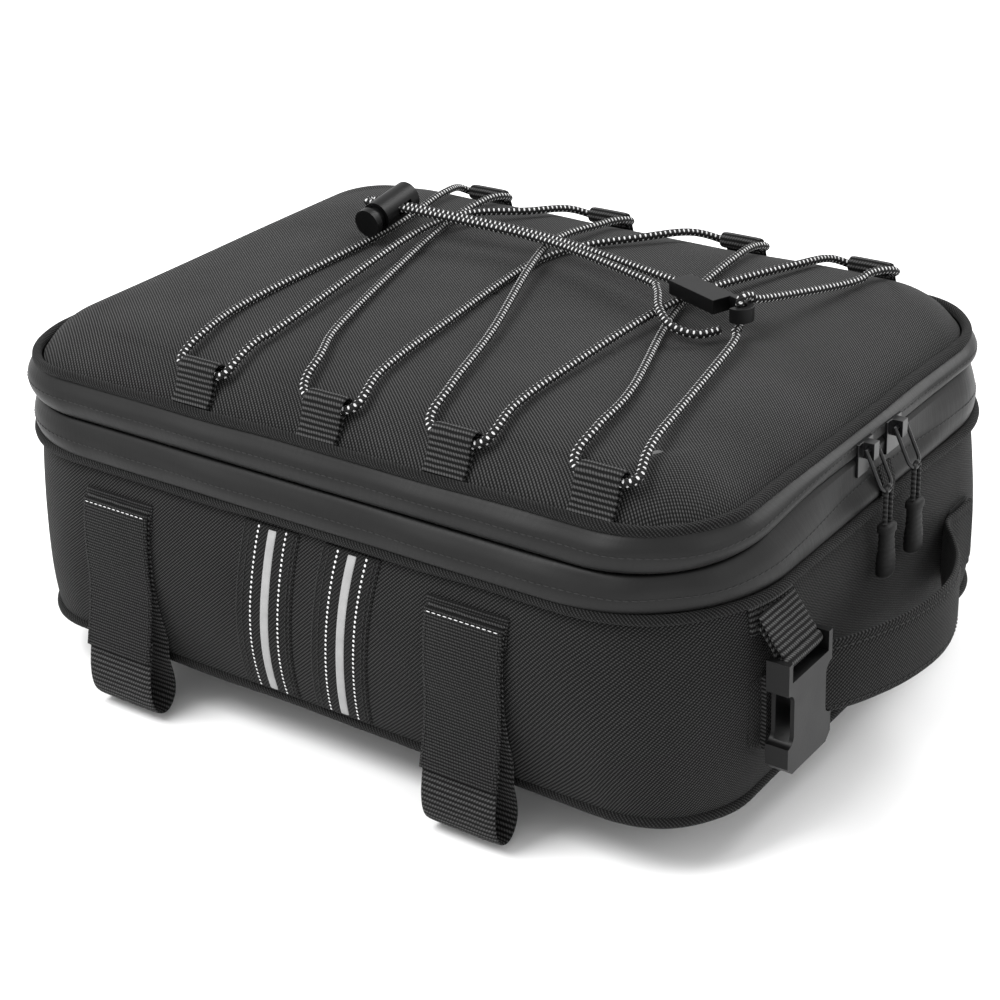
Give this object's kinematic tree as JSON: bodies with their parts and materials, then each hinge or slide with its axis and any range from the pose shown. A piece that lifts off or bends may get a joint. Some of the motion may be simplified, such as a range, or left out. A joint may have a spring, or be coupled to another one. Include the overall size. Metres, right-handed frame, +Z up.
{
  "type": "motorcycle tail bag",
  "caption": "Soft rack bag with a padded body, a hinged zip lid with elastic lacing, rack straps, a side buckle and a carry handle.",
  "frame": {"origin": "centre of the base's underside", "axes": "+X towards the end with the carry handle, +Y towards the lid's hinge side, +Z up"},
  "size_m": [0.4537, 0.329, 0.2107],
  "materials": {
    "black_metal": "satin black",
    "board": "matt",
    "bright_stripe": "reflective",
    "dark_tape": "ribbed",
    "elastic_cord": "braided with bright flecks",
    "foam": "open foam",
    "grip_rubber": "matt",
    "hook_tape": "ribbed webbing",
    "lid_fabric": "matt twill polyester",
    "lining": "smooth lining",
    "moulded_plastic": "satin moulded",
    "piping": "woven over cord",
    "satin_band": "coated satin",
    "spring_steel": "plain",
    "webbing": "ribbed webbing",
    "woven_fabric": "matt woven polyester",
    "zip_coil": "satin"
  },
  "bodies": {
    "case": {"base_panel": "woven_fabric", "base_board": "board", "case_wall": "woven_fabric", "wall_foam": "foam", "case_lining": "lining", "case_piping": "piping", "base_piping": "piping", "zip_band_lower": "satin_band", "zip_coil_lower": "zip_coil", "zip_garage": "woven_fabric", "hinge_fabric": "woven_fabric", "reflective_tape_left": "dark_tape", "reflective_tape_right": "dark_tape", "reflective_stripe_left": "bright_stripe", "reflective_stripe_right": "bright_stripe", "strap_anchor_left": "webbing", "strap_anchor_right": "webbing", "buckle_anchor": "webbing", "handle_patch_front": "woven_fabric", "handle_patch_rear": "woven_fabric", "handle_root_front": "woven_fabric", "handle_root_rear": "woven_fabric"},
    "lid": {"lid_panel": "lid_fabric", "lid_foam": "foam", "lid_lining": "lining", "lid_piping": "piping", "zip_band_upper": "satin_band", "zip_coil_upper": "zip_coil", "front_loops": "webbing", "back_loops": "webbing", "lacing_cord": "elastic_cord", "tension_cord": "elastic_cord", "cord_hook": "moulded_plastic"},
    "cord_lock": {"cord_lock_barrel": "moulded_plastic", "cord_lock_spring": "spring_steel"},
    "lock_button": {"cord_lock_button": "moulded_plastic"},
    "slider_front": {"zip_slider_front": "black_metal"},
    "bail_front": {"zip_bail_front": "black_metal"},
    "pull_front": {"zip_pull_cord_front": "elastic_cord", "zip_grip_front": "grip_rubber"},
    "slider_rear": {"zip_slider_rear": "black_metal"},
    "bail_rear": {"zip_bail_rear": "black_metal"},
    "pull_rear": {"zip_pull_cord_rear": "elastic_cord", "zip_grip_rear": "grip_rubber"},
    "strap_left": {"strap_loop_left": "webbing", "strap_flap_left": "hook_tape"},
    "strap_right": {"strap_loop_right": "webbing", "strap_flap_right": "hook_tape"},
    "buckle_webbing": {"buckle_tab": "webbing"},
    "buckle": {"buckle_housing": "moulded_plastic"},
    "handle": {"handle_strap": "woven_fabric"}
  },
  "joints": [
    {"name": "lid_hinge", "type": "hinge", "parent": "case", "child": "lid", "pos_m": [0, 0.151, 0.12475], "axis": [-1, 0, 0], "range_deg": [0, 110], "deforming": ["hinge_fabric"]},
    {"name": "cord_lock_slide", "type": "slide", "parent": "lid", "child": "cord_lock", "axis": [1, 0, 0], "range_m": [0, 0.008]},
    {"name": "lock_button_press", "type": "slide", "parent": "cord_lock", "child": "lock_button", "axis": [0, 0.9903, 0.1392], "range_m": [0, 0.004], "stiffness_N_per_m": 800, "springref_m": -0.003, "deforming": ["cord_lock_spring"]},
    {"name": "slider_front_slide", "type": "slide", "parent": "case", "child": "slider_front", "axis": [0, -1, 0], "range_m": [0, 0.058]},
    {"name": "slider_rear_slide", "type": "slide", "parent": "case", "child": "slider_rear", "axis": [0, 1, 0], "range_m": [0, 0.06]},
    {"name": "bail_front_swing", "type": "hinge", "parent": "slider_front", "child": "bail_front", "pos_m": [0.2093, -0.008, 0.133], "axis": [0, -1, 0], "range_deg": [0, 130]},
    {"name": "bail_rear_swing", "type": "hinge", "parent": "slider_rear", "child": "bail_rear", "pos_m": [0.2093, 0.02, 0.133], "axis": [0, -1, 0], "range_deg": [0, 130]},
    {"name": "pull_front_swing", "type": "hinge", "parent": "bail_front", "child": "pull_front", "pos_m": [0.21818, -0.008, 0.11397], "axis": [0, -1, 0], "range_deg": [-4, 90]},
    {"name": "pull_rear_swing", "type": "hinge", "parent": "bail_rear", "child": "pull_rear", "pos_m": [0.21818, 0.02, 0.11397], "axis": [0, -1, 0], "range_deg": [-4, 90]},
    {"name": "strap_left_swing", "type": "hinge", "parent": "case", "child": "strap_left", "pos_m": [-0.114, -0.1547, 0.084], "axis": [-1, 0, 0], "range_deg": [0, 100]},
    {"name": "strap_right_swing", "type": "hinge", "parent": "case", "child": "strap_right", "pos_m": [0.094, -0.1547, 0.084], "axis": [-1, 0, 0], "range_deg": [0, 100]},
    {"name": "buckle_webbing_swing", "type": "hinge", "parent": "case", "child": "buckle_webbing", "pos_m": [0.2092, -0.095, 0.089], "axis": [0, -1, 0], "range_deg": [0, 60]},
    {"name": "buckle_swing", "type": "hinge", "parent": "buckle_webbing", "child": "buckle", "pos_m": [0.222, -0.095, 0.077], "axis": [0, -1, 0], "range_deg": [-5, 60]},
    {"name": "handle_lift", "type": "hinge", "parent": "case", "child": "handle", "pos_m": [0.208, -0.005, 0.048], "axis": [0, -1, 0], "range_deg": [-20, 20], "deforming": ["handle_root_front", "handle_root_rear"]}
  ]
}
